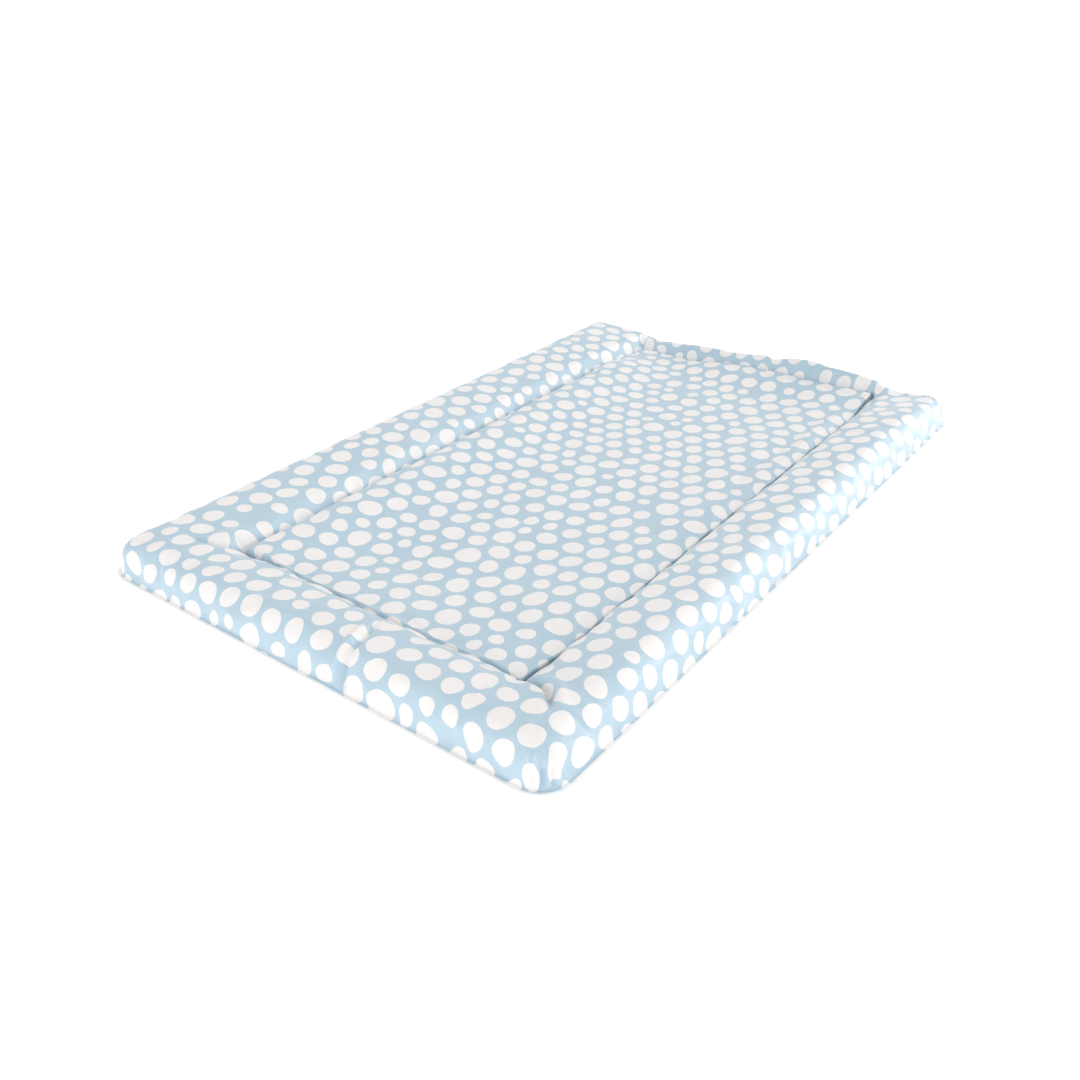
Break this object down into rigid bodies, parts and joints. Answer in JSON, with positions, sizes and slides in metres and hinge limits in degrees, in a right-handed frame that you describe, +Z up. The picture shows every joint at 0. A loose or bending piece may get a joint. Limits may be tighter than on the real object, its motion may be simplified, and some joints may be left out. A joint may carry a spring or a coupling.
{
  "type": "changing mat",
  "caption": "Wipe-clean padded baby changing mat with wide raised rolls on both long sides and the near end, and a narrow raised lip at the far end",
  "frame": {"origin": "Middle of the underside, on the surface the mat lies on", "axes": "+Z up. +Y along the mat's length, from the near end with the wide roll to the far end with the narrow lip. +X across the mat, to the right as seen from the near end."},
  "size_m": [0.484, 0.75, 0.036],
  "materials": {
    "printed_vinyl": "soft glossy PVC film, pale blue printed with off-white pebble spots",
    "plain_vinyl": "plain white PVC film, lightly embossed",
    "foam": "soft open-cell foam sheet",
    "wadding": "bonded polyester wadding"
  },
  "bodies": {
    "root": {"top_cover": "printed_vinyl", "base_sheet": "plain_vinyl", "centre_pad": "foam", "left_roll_filling": "wadding", "right_roll_filling": "wadding", "front_roll_filling": "wadding", "far_lip_filling": "wadding"}
  },
  "joints": []
}
